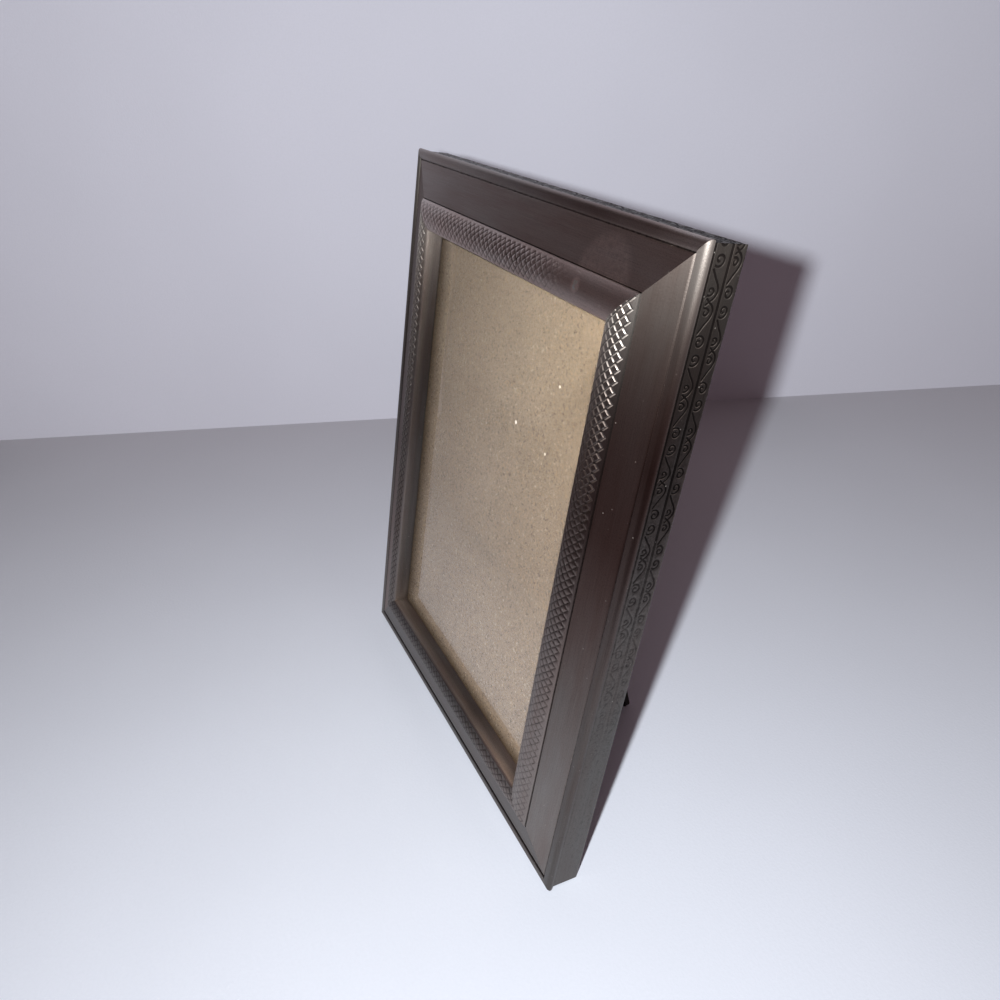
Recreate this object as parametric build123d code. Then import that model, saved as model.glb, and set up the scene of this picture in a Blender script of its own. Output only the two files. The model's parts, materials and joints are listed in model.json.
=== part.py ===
from build123d import *
import os
from math import acos, cos, degrees, radians, sin

# Easel back photo frame for one upright 5 x 7 in print, in millimetres.
# It is drawn standing upright with its face towards -Y, the middle of the face at X = Z = 0
# and the rim's front plane at Y = 0, and is leaned back onto its leg at the end.

# Print and what lies behind the glass
print_width = 127.0
print_height = 177.8
print_play = 0.75  # from each edge of the print to the rabbet wall
layer_play = 0.4  # from glass, pad and backboard to the rabbet wall
glass_thickness = 2.0
insert_thickness = 1.2
backboard_thickness = 3.0
cover_thickness = 0.4
cover_margin = 0.6  # bare edge of the backboard round its cloth

# Moulding, rolled from one sheet: insets are from the side wall, depths from the rim's front
sheet = 0.6
wall_depth = 13.2
rabbet_inset = 21.25
rim_radius = 1.4
rim_overhang = 0.7  # the rolled rim stands out past the side wall
rim_flat_end = 2.5
groove_inset = 3.0
groove_depth = 0.55
panel_lip_run = 0.4
panel_lip_rise = 0.3
panel_roll_radius = 0.8
panel_inset = 15.3
panel_proud = 2.5  # the panel's inner edge stands this far before the rim
quirk_width = 0.35
quirk_depth = 0.6
bead_width = 9.8
bead_base_proud = 2.9
bead_crest_run = 5.8  # from the bead's outer foot
bead_crest_proud = 5.25
bead_end_proud = 4.2
bead_roll_radius = 1.0
cove_width = 0.95
cove_sag = 0.25
sight_edge_depth = 1.3
back_bend_radius = 0.8
seam_inset = 4.0
seam_width = 0.4

# Corner keys, slid into the hollow mouldings
key_play = 0.25
key_thickness = 1.2
key_arm_width = 12.0
key_arm_length = 30.0
key_tip_taper = 2.5
key_corner_cut = 2.0
key_inner_radius = 2.0

# Turn buttons and their rivets
button_setback = 5.5  # from the rabbet wall out to the rivet
button_thickness = 0.8
button_gap = 0.15  # from the cloth to the back plane of the moulding
button_heel_radius = 4.0
button_nose_radius = 2.8
button_reach = 8.5  # from the rivet to the nose's centre
button_tip_turn = 35.0
button_tip_length = 2.6
rivet_radius = 1.5
rivet_play = 0.05
rivet_head_radius = 2.8
rivet_head_height = 0.9
rivet_tail_radius = 2.3
rivet_tail_height = 0.7

# Stop hinge between the backboard and the leg
lean_angle = 12.0
spread_angle = 22.0  # between the backboard and the open leg
hinge_height = 38.0  # above the middle of the face
leaf_thickness = 0.6
leaf_length = 16.0
leaf_joggle_start = 3.0
leaf_joggle_end = 1.4
leaf_corner_radius = 3.0
knuckle_lift = 0.3  # turning knuckles clear the cloth by this
knuckle_gap = 0.2
knuckle_slit = 0.35
pin_radius = 1.0
pin_play = 0.05
outer_knuckle_width = 6.0
inner_knuckle_width = 5.0
tongue_width = 7.0
stop_gap = 0.03  # left between the tongue's end and the leaf that it lands on
pin_overhang = 0.8
leaf_rivet_radius = 1.2
leaf_rivet_spacing = 20.0
leaf_rivet_inset = 5.0  # from the leaf's far end
leaf_rivet_head_radius = 2.4
leaf_rivet_head_height = 0.8
leaf_rivet_tail_radius = 2.1
leaf_rivet_tail_height = 0.6
counterbore_play = 0.1

# Leg
leg_thickness = 2.2
leg_top_width = 37.0
leg_foot_width = 60.0
leg_waist = 1.5  # how far each side bows in
leg_top_gap = 2.4  # from the pin's axis to the leg's top edge
leg_top_radius = 6.0
leg_foot_radius = 3.5
foot_arch_width = 20.0
foot_arch_height = 3.0

overrun = 1.0  # cutters run past what they cut

# Sizes that follow
rabbet_width = print_width + 2 * print_play
rabbet_height = print_height + 2 * print_play
frame_width = rabbet_width + 2 * rabbet_inset
frame_height = rabbet_height + 2 * rabbet_inset
bead_start = panel_inset + quirk_width
bead_end = bead_start + bead_width
sight_inset = bead_end + cove_width
glass_depth = sight_edge_depth + sheet
insert_depth = glass_depth + glass_thickness
pad_depth = insert_depth + insert_thickness
cover_back = wall_depth - button_gap
cover_depth = cover_back - cover_thickness
backboard_depth = cover_depth - backboard_thickness
pad_thickness = backboard_depth - pad_depth
button_inset = rabbet_inset - button_setback
knuckle_bore = pin_radius + pin_play
knuckle_radius = knuckle_bore + leaf_thickness
axis_depth = cover_back + knuckle_lift + knuckle_radius
leaf_near = knuckle_radius + knuckle_lift - leaf_thickness  # pin axis to a leaf's inner face
leaf_far = leaf_near + leaf_thickness
tongue_length = leaf_near * (1 + cos(radians(spread_angle))) / sin(radians(spread_angle)) - stop_gap
inner_knuckle_place = (tongue_width + inner_knuckle_width) / 2 + knuckle_gap
outer_knuckle_place = (
    inner_knuckle_place + (inner_knuckle_width + outer_knuckle_width) / 2 + knuckle_gap
)
leaf_width = 2 * outer_knuckle_place + outer_knuckle_width
pin_length = leaf_width + 2 * pin_overhang
leaf_rivet_reach = leaf_length - leaf_rivet_inset  # from the pin's axis


def back_plane(x, depth, z):
    """A drawing plane facing backwards: its x runs up, its y to +X and its normal to +Y."""
    return Plane(origin=(x, depth, z), x_dir=(0, 0, 1), z_dir=(0, 1, 0))


def rivet(grip, shank, head, head_height, tail, tail_height):
    """A rivet along Z with its head on Z = 0 and its upset tail a grip below it."""
    profile = Polygon(
        (0, -grip - tail_height),
        (tail, -grip - tail_height),
        (tail, -grip),
        (shank, -grip),
        (shank, 0),
        (head, 0),
        (head, head_height),
        (0, head_height),
        align=None,
    )
    return revolve(Plane.XZ * profile, Axis.Z)


def moulding_section():
    """The rolled sheet cut across: x is the inset from the outer edge, y runs to the front."""
    rim_middle = (rim_radius - rim_overhang, -rim_radius)
    under_rim = degrees(acos(1 - rim_overhang / rim_radius))  # where the roll meets the wall
    rim = CenterArc(rim_middle, rim_radius, 180 + under_rim, -90 - under_rim)
    panel_start = (groove_inset + panel_lip_run, panel_lip_rise - groove_depth)
    panel_end = (panel_inset, panel_proud)
    quirk_floor = panel_proud - quirk_depth
    bead_foot = (bead_start, bead_base_proud)
    bead_inner_foot = (bead_end, bead_end_proud)
    sight_edge = (sight_inset, -sight_edge_depth)
    front = Polyline(
        rim @ 1,
        (rim_flat_end, 0),
        (groove_inset, -groove_depth),
        panel_start,
        panel_end,
        (panel_inset, quirk_floor),
        (bead_start, quirk_floor),
        bead_foot,
    )
    crest = (bead_start + bead_crest_run, bead_crest_proud)
    bead = ThreePointArc(bead_foot, crest, bead_inner_foot)
    cove = SagittaArc(bead_inner_foot, sight_edge, -cove_sag)
    lip_and_back = Polyline(
        sight_edge,
        (sight_inset, -glass_depth),
        (rabbet_inset, -glass_depth),
        (rabbet_inset, -wall_depth),
        (0, -wall_depth),
        rim @ 0,
    )
    outline = make_face(rim + front + bead + cove + lip_and_back)
    hollow = offset(outline, amount=-sheet, kind=Kind.ARC)

    def corner(point):
        return outline.vertices().sort_by_distance((*point, 0))[0]

    outline = fillet(corner(panel_start), panel_roll_radius)
    outline = fillet(corner(bead_inner_foot), bead_roll_radius)
    outline = fillet(
        [corner((0, -wall_depth)), corner((rabbet_inset, -wall_depth))], back_bend_radius
    )
    seam = Pos(seam_inset, sheet / 2 - wall_depth) * Rectangle(seam_width, sheet + overrun)
    return outline - hollow - seam


def rail(length):
    """One mitred side of the frame, its side wall standing on Z = 0 and running along X."""
    start = Plane(origin=(-length / 2, 0, 0), x_dir=(0, 0, 1), z_dir=(1, 0, 0))
    blank = extrude(start * moulding_section(), amount=length)
    inner = sight_inset + overrun
    half = length / 2
    mitred = Polygon(
        (-half - overrun, -overrun),
        (half + overrun, -overrun),
        (half - inner, inner),
        (inner - half, inner),
        align=None,
    )
    blank &= extrude(Plane.XZ * mitred, amount=2 * wall_depth, both=True)
    hole = Cylinder(rivet_radius + rivet_play, sheet + overrun)
    return blank - back_plane(0, wall_depth - sheet / 2, button_inset) * hole


def corner_key():
    """An L of flat steel for the corner where X and Z start, lying on the back of the hollow."""
    near = sheet + key_play
    far = near + key_arm_length
    across = near + key_arm_width
    arms = Polygon(
        (near, near + key_corner_cut),
        (near + key_corner_cut, near),
        (far - key_tip_taper, near),
        (far, near + key_tip_taper),
        (far, across - key_tip_taper),
        (far - key_tip_taper, across),
        (across, across),
        (across, far - key_tip_taper),
        (across - key_tip_taper, far),
        (near + key_tip_taper, far),
        (near, far - key_tip_taper),
        align=None,
    )
    inside = arms.vertices().sort_by_distance((across, across, 0))[0]
    arms = fillet(inside, key_inner_radius)
    return extrude(Plane.XZ * arms, amount=-key_thickness)


def turn_button():
    """A teardrop of sheet lying on Y = 0, its nose up along Z and its tip bent off the board."""
    heel = CenterArc((0, 0), button_heel_radius, 0, 360)
    nose = CenterArc((button_reach, 0), button_nose_radius, 0, 360)
    outline = make_hull(heel.edges() + nose.edges())
    rise = button_tip_length * sin(radians(button_tip_turn))
    blank = extrude(back_plane(0, 0, 0) * outline, amount=button_thickness + rise)
    bend = button_reach + button_nose_radius - button_tip_length
    heel_end = -button_heel_radius - overrun
    run = button_tip_length + overrun
    up = Vector(0, run * sin(radians(button_tip_turn)))
    along = Vector(run * cos(radians(button_tip_turn)), 0)
    strip = Polygon(
        (heel_end, 0),
        (bend, 0),
        tuple(Vector(bend, 0) + along + up)[:2],
        tuple(Vector(bend, button_thickness) + along + up)[:2],
        (bend, button_thickness),
        (heel_end, button_thickness),
        align=None,
    )
    side_view = Plane(origin=(0, 0, 0), x_dir=(0, 0, 1), z_dir=(-1, 0, 0))
    button = blank & extrude(side_view * strip, amount=2 * button_heel_radius, both=True)
    hole = Cylinder(rivet_radius + rivet_play, 2 * (button_thickness + overrun))
    return button - back_plane(0, 0, 0) * hole


def hinge_leaf(knuckle_places, knuckle_width):
    """A leaf running up from a pin along X at the origin, in front of it, with rolled knuckles."""
    plate = Rectangle(leaf_length - leaf_joggle_start, leaf_width)
    plate = fillet(plate.vertices().group_by(Axis.X)[-1], leaf_corner_radius)
    plate = Pos((leaf_length + leaf_joggle_start) / 2, 0) * plate
    for side in (-1, 1):
        plate -= Pos(leaf_rivet_reach, side * leaf_rivet_spacing / 2) * Circle(
            leaf_rivet_radius + rivet_play
        )
    leaf = extrude(back_plane(0, -leaf_far, 0) * plate, amount=leaf_thickness)

    neck = Polygon(
        (-leaf_far, leaf_joggle_start + overrun),
        (-leaf_far, leaf_joggle_start),
        (-knuckle_radius, leaf_joggle_end),
        (-knuckle_radius, 0),
        (-knuckle_bore, 0),
        (-knuckle_bore, leaf_joggle_end),
        (-leaf_near, leaf_joggle_start),
        (-leaf_near, leaf_joggle_start + overrun),
        align=None,
    )
    slit_depth = knuckle_radius + overrun
    slit = Polygon(
        (-knuckle_bore, 0),
        (-knuckle_bore, slit_depth),
        (knuckle_slit - knuckle_bore, slit_depth),
        (knuckle_slit - knuckle_bore, 0),
        align=None,
    )
    roll = Circle(knuckle_radius) - Circle(knuckle_bore) - slit + neck
    for place in knuckle_places:
        start = Plane.YZ.offset(place - knuckle_width / 2)
        leaf += extrude(start * roll, amount=knuckle_width)
    return leaf


def leg_outline():
    """The leg's face drawn in a back plane on the pin's axis, running down to its foot."""
    top = -leg_top_gap
    foot = -leg_length
    half_top = leg_top_width / 2
    half_foot = leg_foot_width / 2
    half_arch = foot_arch_width / 2
    left = SagittaArc((foot, -half_foot), (top, -half_top), -leg_waist)
    right = SagittaArc((top, half_top), (foot, half_foot), -leg_waist)
    arch = ThreePointArc((foot, half_arch), (foot + foot_arch_height, 0), (foot, -half_arch))
    outline = make_face(
        left
        + Line((top, -half_top), (top, half_top))
        + right
        + Line((foot, half_foot), (foot, half_arch))
        + arch
        + Line((foot, -half_arch), (foot, -half_foot))
    )

    def corners(height, across):
        return [
            outline.vertices().sort_by_distance((height, side * across, 0))[0] for side in (-1, 1)
        ]

    outline = fillet(corners(top, half_top), leg_top_radius)
    return fillet(corners(foot, half_foot), leg_foot_radius)


def board(depth, thickness, width, height):
    """A flat sheet lying behind the sight edge, its front face at a depth."""
    return extrude(back_plane(0, depth, 0) * Rectangle(height, width), amount=thickness)


def lean(shape):
    """Leans a piece of the upright frame back over its bottom edge."""
    return shape.rotate(Axis.X, -lean_angle)


def height_when_leaning(depth, z):
    """How high a point of the upright frame comes once the frame leans."""
    return z * cos(radians(lean_angle)) - depth * sin(radians(lean_angle))


# The frame stands on the rounded back edge of its bottom rail, and the leg's length follows.
resting_height = (
    height_when_leaning(wall_depth - back_bend_radius, back_bend_radius - frame_height / 2)
    - back_bend_radius
)
leg_slope = radians(spread_angle - lean_angle)
leg_length = (
    height_when_leaning(axis_depth, hinge_height) - resting_height + leaf_far * sin(leg_slope)
) / cos(leg_slope)

pieces = {}

# Four rails, each with a turn button in its middle, and a key in each corner
rails = (
    ("rail_bottom", "turn_button_bottom", 0, 0, -frame_height / 2, frame_width),
    ("rail_left", "turn_button_left", 90, -frame_width / 2, 0, frame_height),
    ("rail_top", "turn_button_top", 180, 0, frame_height / 2, frame_width),
    ("rail_right", "turn_button_right", -90, frame_width / 2, 0, frame_height),
)
button_rivet = rivet(
    button_thickness + sheet + 2 * rivet_play,
    rivet_radius,
    rivet_head_radius,
    rivet_head_height,
    rivet_tail_radius,
    rivet_tail_height,
)
button_rivets = []
head_depth = wall_depth + button_thickness + 2 * rivet_play
for rail_name, button_name, turn, x, z, length in rails:
    seat = Pos(x, 0, z) * Rot(0, turn, 0)
    pieces[rail_name] = seat * rail(length)
    pieces[button_name] = seat * Pos(0, wall_depth + rivet_play, button_inset) * turn_button()
    button_rivets.append(seat * (back_plane(0, head_depth, button_inset) * button_rivet))
pieces["turn_button_rivets"] = Compound(button_rivets)

key_depth = wall_depth - sheet - key_thickness
corners = (
    ("corner_key_bottom_left", 0, -1, -1),
    ("corner_key_top_left", 90, -1, 1),
    ("corner_key_top_right", 180, 1, 1),
    ("corner_key_bottom_right", -90, 1, -1),
)
for name, turn, across, up in corners:
    corner_place = Pos(across * frame_width / 2, key_depth, up * frame_height / 2)
    pieces[name] = corner_place * Rot(0, turn, 0) * corner_key()

# Glass, the plain insert that shows behind it, packing, backboard and its cloth
layer_width = rabbet_width - 2 * layer_play
layer_height = rabbet_height - 2 * layer_play
pieces["glass_pane"] = board(glass_depth, glass_thickness, layer_width, layer_height)
pieces["insert_board"] = board(insert_depth, insert_thickness, print_width, print_height)
pieces["spacer_pad"] = board(pad_depth, pad_thickness, layer_width, layer_height)
backboard = board(backboard_depth, backboard_thickness, layer_width, layer_height)
cover = board(
    cover_depth,
    cover_thickness,
    layer_width - 2 * cover_margin,
    layer_height - 2 * cover_margin,
)
rivet_hole = leaf_rivet_radius + rivet_play
counterbore = leaf_rivet_tail_radius + counterbore_play
board_rivet_height = hinge_height + leaf_rivet_reach
board_leaf_rivets = []
for side in (-1, 1):
    across = side * leaf_rivet_spacing / 2
    hole = Cylinder(rivet_hole, 2 * wall_depth)
    bore = Cylinder(counterbore, 2 * leaf_rivet_tail_height)
    backboard -= back_plane(across, backboard_depth, board_rivet_height) * hole
    backboard -= back_plane(across, backboard_depth, board_rivet_height) * bore
    cover -= back_plane(across, cover_depth, board_rivet_height) * hole
    board_leaf_rivets.append(
        back_plane(across, cover_back + leaf_thickness, board_rivet_height)
        * rivet(
            leaf_thickness + cover_thickness + backboard_thickness - leaf_rivet_tail_height,
            leaf_rivet_radius,
            leaf_rivet_head_radius,
            leaf_rivet_head_height,
            leaf_rivet_tail_radius,
            leaf_rivet_tail_height,
        )
    )
pieces["backboard"] = backboard
pieces["backboard_cloth"] = cover

# Stop hinge: the leg leaf's tongue lands on the board leaf when the leg is fully open
board_leaf = hinge_leaf((-outer_knuckle_place, outer_knuckle_place), outer_knuckle_width)
leg_leaf = hinge_leaf((-inner_knuckle_place, inner_knuckle_place), inner_knuckle_width)
tongue_total = tongue_length + leaf_joggle_start + overrun
tongue = back_plane(0, -leaf_far, leaf_joggle_start + overrun - tongue_total / 2) * Box(
    tongue_total, tongue_width, leaf_thickness, align=(Align.CENTER, Align.CENTER, Align.MIN)
)
leg_leaf += tongue
pin = Rot(0, 90, 0) * Cylinder(pin_radius, pin_length)
hinge_place = Pos(0, axis_depth, hinge_height)
pieces["hinge_leaf_board"] = hinge_place * board_leaf
pieces["hinge_leaf_board_rivets"] = Compound(board_leaf_rivets)
pieces["hinge_pin"] = hinge_place * pin

# Leg, drawn hanging straight down from the pin and then opened to its stop
leg_face = leg_outline()
leg = extrude(back_plane(0, leaf_far, 0) * leg_face, amount=leg_thickness)
leg_cover = extrude(
    back_plane(0, leaf_far + leg_thickness, 0) * offset(leg_face, amount=-cover_margin),
    amount=cover_thickness,
)
leg_leaf_rivets = []
for side in (-1, 1):
    across = side * leaf_rivet_spacing / 2
    hole_place = back_plane(across, leaf_far, -leaf_rivet_reach)
    hole = Cylinder(rivet_hole, 2 * wall_depth)
    leg -= hole_place * hole
    leg_cover -= hole_place * hole
    leg_leaf_rivets.append(
        back_plane(across, leaf_far + leg_thickness + cover_thickness, -leaf_rivet_reach)
        * rivet(
            leaf_thickness + leg_thickness + cover_thickness,
            leaf_rivet_radius,
            leaf_rivet_head_radius,
            leaf_rivet_head_height,
            leaf_rivet_tail_radius,
            leaf_rivet_tail_height,
        )
    )
opened = Rot(spread_angle, 0, 0)
pieces["hinge_leaf_leg"] = hinge_place * opened * Rot(180, 0, 0) * leg_leaf
pieces["easel_leg"] = hinge_place * opened * leg
pieces["easel_leg_cloth"] = hinge_place * opened * leg_cover
pieces["hinge_leaf_leg_rivets"] = hinge_place * opened * Compound(leg_leaf_rivets)

# Leaned back, the floor is Z = 0 and the origin lies under the middle of the whole frame.
leaned = {name: lean(piece) for name, piece in pieces.items()}
extent = Compound(list(leaned.values())).bounding_box()
stand = Pos(0, -extent.center().Y, -resting_height)
for name, piece in leaned.items():
    export_step(stand * piece, f"parts/{name}.step")
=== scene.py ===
import bpy
import bmesh
import json
import math
import numpy as np
from mathutils import Matrix, Vector, geometry

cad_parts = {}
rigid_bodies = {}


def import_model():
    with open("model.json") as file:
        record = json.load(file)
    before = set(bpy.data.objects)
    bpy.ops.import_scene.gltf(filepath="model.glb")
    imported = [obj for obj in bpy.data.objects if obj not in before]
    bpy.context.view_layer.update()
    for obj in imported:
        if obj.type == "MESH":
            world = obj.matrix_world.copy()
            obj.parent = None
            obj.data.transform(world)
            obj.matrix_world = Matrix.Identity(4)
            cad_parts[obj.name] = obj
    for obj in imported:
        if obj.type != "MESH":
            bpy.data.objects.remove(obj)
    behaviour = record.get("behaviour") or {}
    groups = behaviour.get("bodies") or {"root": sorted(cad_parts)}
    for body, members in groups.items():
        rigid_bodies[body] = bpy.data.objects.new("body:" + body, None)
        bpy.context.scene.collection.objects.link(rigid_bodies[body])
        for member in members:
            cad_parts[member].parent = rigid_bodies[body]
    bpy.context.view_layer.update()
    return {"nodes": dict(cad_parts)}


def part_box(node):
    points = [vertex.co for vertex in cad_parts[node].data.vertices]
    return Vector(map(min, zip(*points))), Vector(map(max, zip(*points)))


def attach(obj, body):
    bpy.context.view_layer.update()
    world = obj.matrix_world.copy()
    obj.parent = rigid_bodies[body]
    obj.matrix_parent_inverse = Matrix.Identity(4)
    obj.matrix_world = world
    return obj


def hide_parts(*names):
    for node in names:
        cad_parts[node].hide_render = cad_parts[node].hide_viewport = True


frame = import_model()
print("frame loaded:", len(frame["nodes"]), "nodes")

mm = 0.001
scene = bpy.context.scene
scene.view_settings.view_transform = "Standard"

# The frame is drawn upright in mm, x across, y back from the rim's front, z up from the middle,
# and this matrix leans it back onto its leg. The glass pane's box gives the place.
stance = dict(lean=12.0, glassMiddle=2.9, hingeDepth=15.0, hingeHeight=38.0, spread=22.0)
leanBack = Matrix.Rotation(math.radians(-stance["lean"]), 4, "X")
glassLow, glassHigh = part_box("glass_pane")
glassCentre = leanBack @ Vector((0, stance["glassMiddle"] * mm, 0))
upright = Matrix.Translation((glassLow + glassHigh) / 2 - glassCentre) @ leanBack @ Matrix.Scale(mm, 4)

cameraView = dict(
    place=(0.22249, -0.11106, 0.26740),
    turn=(57.118, 2.924, 62.761),
    lens=27.907,
    sensor=36.0,
    nearest=0.005,
)


def addCamera(view):
    data = bpy.data.cameras.new("camera")
    data.sensor_width = view["sensor"]
    data.lens = view["lens"]
    data.clip_start = view["nearest"]
    camera = bpy.data.objects.new("camera", data)
    camera.location = view["place"]
    camera.rotation_euler = [math.radians(angle) for angle in view["turn"]]
    scene.collection.objects.link(camera)
    scene.camera = camera


# The flash stands by the lens. The room's lamps light only the table and the wall.
flashPlace = (0.205, -0.12424, 0.27125)
warm = (1.0, 0.74, 0.80)
lamps = dict(
    flash=dict(place=flashPlace, aim=(0.0, 0.0, 0.1), size=0.008, power=0.95, lights="frame"),
    roomFlash=dict(
        place=flashPlace, aim=(-0.09, 0.02, 0.10), size=0.008, power=13.0, lights="room",
        cone=150.0, blend=0.3,
    ),
    roomFill=dict(
        place=(0.9, -0.6, 1.1), aim=(-0.1, 0.0, 0.0), size=0.5, power=1.7, lights="room", colour=warm,
    ),
    backFill=dict(place=(-0.35, 0.75, 0.55), aim=(0.0, 0.0, 0.1), size=0.5, power=2.0, lights="frame"),
)
glow = dict(room=(0.04, 0.024, 0.024), sky=(0.5, 0.495, 0.565))
litBy = {name: bpy.data.collections.new(name + "Pieces") for name in ("frame", "room")}


def addLamp(name, place, aim, size, power, lights, colour=(1, 1, 1), cone=0, blend=0):
    data = bpy.data.lights.new(name, "SPOT" if cone else "AREA")
    data.energy = power
    data.color = colour
    if not cone:
        data.shape = "DISK"
        data.size = size
    else:
        data.shadow_soft_size = size / 2
        data.spot_size = math.radians(cone)
        data.spot_blend = blend
        data.use_nodes = True
        tree = data.node_tree
        falloff = node(tree, "LightFalloff", {"Strength": 1.0}).outputs["Linear"]
        tree.links.new(falloff, tree.nodes["Emission"].inputs["Strength"])
    lamp = bpy.data.objects.new(name, data)
    lamp.location = place
    lamp.rotation_euler = (Vector(aim) - Vector(place)).to_track_quat("-Z", "Y").to_euler()
    lamp.light_linking.receiver_collection = litBy[lights]
    scene.collection.objects.link(lamp)


def node(tree, kind, inputs=None, **settings):
    made = tree.nodes.new("ShaderNode" + kind)
    for key, value in settings.items():
        setattr(made, key, value)
    for key, value in (inputs or {}).items():
        if isinstance(value, bpy.types.NodeSocket):
            tree.links.new(value, made.inputs[key])
        else:
            made.inputs[key].default_value = value
    return made


def rgba(colour):
    return (*colour, 1.0)


def addWorld():
    world = bpy.data.worlds.new("studio")
    world.use_nodes = True
    scene.world = world
    tree = world.node_tree
    tree.nodes.clear()
    seen = node(tree, "LightPath").outputs["Is Camera Ray"]
    dim = node(tree, "Background", {"Color": rgba(glow["room"])})
    sky = node(tree, "Background", {"Color": rgba(glow["sky"])})
    mixed = node(tree, "MixShader", {0: seen, 1: dim.outputs[0], 2: sky.outputs[0]})
    node(tree, "OutputWorld", {0: mixed.outputs[0]})


addCamera(cameraView)
for name, lamp in lamps.items():
    addLamp(name, **lamp)
addWorld()
print("camera, lamps and world are set")


# Node trees shared by the finishes
def newFinish(name, **plain):
    material = bpy.data.materials.new(name)
    material.use_nodes = True
    tree = material.node_tree
    tree.nodes.clear()
    shader = node(tree, "BsdfPrincipled")
    for key, value in plain.items():
        shader.inputs[key.replace("_", " ")].default_value = value
    node(tree, "OutputMaterial", {0: shader.outputs[0]})
    return material, tree, shader


def blendColour(tree, share, first, second, mode="MIX"):
    made = node(tree, "Mix", data_type="RGBA", blend_type=mode)
    for socket, value in ((0, share), (6, first), (7, second)):
        if isinstance(value, bpy.types.NodeSocket):
            tree.links.new(value, made.inputs[socket])
        elif socket == 0:
            made.inputs[0].default_value = value
        else:
            made.inputs[socket].default_value = rgba(value)
    return made.outputs[2]


def sums(tree, operation, first, second):
    return node(tree, "Math", {0: first, 1: second}, operation=operation).outputs[0]


def ramp(tree, value, low, high, bottom=0.0, top=1.0):
    made = node(tree, "MapRange", {0: value, 1: low, 2: high, 3: bottom, 4: top})
    made.clamp = True
    return made.outputs[0]


def stretched(tree, vector, scale):
    return node(tree, "Mapping", {0: vector, 3: scale}).outputs[0]


def scaled(tree, colour, share):
    return node(tree, "VectorMath", {0: colour, "Scale": share}, operation="SCALE").outputs[0]


def noise(tree, vector, scale, detail, roughness):
    inputs = {"Vector": vector, "Scale": scale, "Detail": detail, "Roughness": roughness}
    return node(tree, "TexNoise", inputs).outputs["Fac"]


def stretchedNoise(tree, vector, cells, detail, roughness):
    return noise(tree, stretched(tree, vector, cells), 1.0, detail, roughness)


def addBump(tree, shader, height, strength, distance):
    bump = node(tree, "Bump", {"Height": height, "Strength": strength, "Distance": distance})
    tree.links.new(bump.outputs[0], shader.inputs["Normal"])


def objectPlace(tree):
    return node(tree, "TexCoord").outputs["Object"]


def brushedPlace(tree):
    return node(tree, "UVMap", uv_map="brushed").outputs[0]


def uprightCoordinate(tree, place, axis):
    row = upright.inverted()[axis]
    made = node(tree, "VectorMath", {0: place, 1: tuple(row[:3])}, operation="DOT_PRODUCT")
    return sums(tree, "ADD", made.outputs["Value"], row[3])


def spotMask(tree, vector, centre, radius, softness):
    away = node(tree, "VectorMath", {0: vector, 1: centre}, operation="DISTANCE").outputs["Value"]
    return ramp(tree, away, radius, radius * (1 - softness))


pewter = dict(
    brown=(0.185, 0.155, 0.138),
    grey=(0.215, 0.205, 0.19),
    worn=(0.34, 0.32, 0.30),
    oxide=(0.012, 0.0095, 0.009),
    dust=(0.5, 0.47, 0.43),
    # Noises: cells per metre along and across a moulding, detail, roughness
    patches=((18, 90, 1), 5.0, 0.6),
    brushing=((45, 3000, 1), 3.0, 0.6),
    mottle=((650, 650, 1), 3.0, 0.7),
    grain=((1900, 3400, 1), 3.0, 0.7),
    # Ramps: from one value of a noise to another, then from one share to another
    greyPatches=(0.35, 0.65),
    lightStreaks=(0.48, 0.7, 0, 0.14),
    darkStreaks=(0.46, 0.3, 0, 0.12),
    darkGrain=(0.5, 0.8, 0, 0.5),
    oxidePower=(0.36, 0.64, 1.9, 0.6),
    roughness=(0.3, 0.7, 0.36, 0.46),
    markMottle=(0.3, 0.6, 0.3),
    dustCells=(800, 800, 1),
    dustFrom=0.925,  # the share of cells that hold no dust
    dustSharpness=0.01,
    dustRadius=(0.2, 0.08),
    dustStrength=(0.3, 0.95, 0.12, 0.6),
    oxideRoughness=0.7,
    anisotropy=0.8,
    anisotropyTurn=0.25,
    bumpStrength=0.35,
    bumpHeight=0.00006,
    markFade=(0.9, 0.6),  # mm in front of a mark's middle where it ends and where it is full
)


def wornMark(tree, mark, mottle):
    depth = mark["place"][1]
    centre = upright @ Vector(mark["place"])
    spot = spotMask(tree, objectPlace(tree), centre, mark["radius"] * mm, mark["softness"])
    front = uprightCoordinate(tree, objectPlace(tree), 1)
    none, full = pewter["markFade"]
    spot = sums(tree, "MULTIPLY", spot, ramp(tree, front, depth - none, depth - full))
    low, high, least = pewter["markMottle"]
    patchy = ramp(tree, mottle, low, high, least * mark["lighter"], mark["lighter"])
    return sums(tree, "MULTIPLY", spot, patchy)


def dustSpecks(tree, place):
    cells = stretched(tree, place, pewter["dustCells"])
    found = node(tree, "TexVoronoi", {"Vector": cells, "Scale": 1.0}, feature="F1").outputs
    chosen = node(tree, "SeparateColor", {0: found["Color"]}).outputs
    strength = ramp(tree, chosen[1], *pewter["dustStrength"])
    speck = ramp(tree, found["Distance"], *pewter["dustRadius"], 0, strength)
    held = ramp(tree, chosen[0], pewter["dustFrom"], pewter["dustFrom"] + pewter["dustSharpness"])
    return sums(tree, "MULTIPLY", speck, held)


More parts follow.
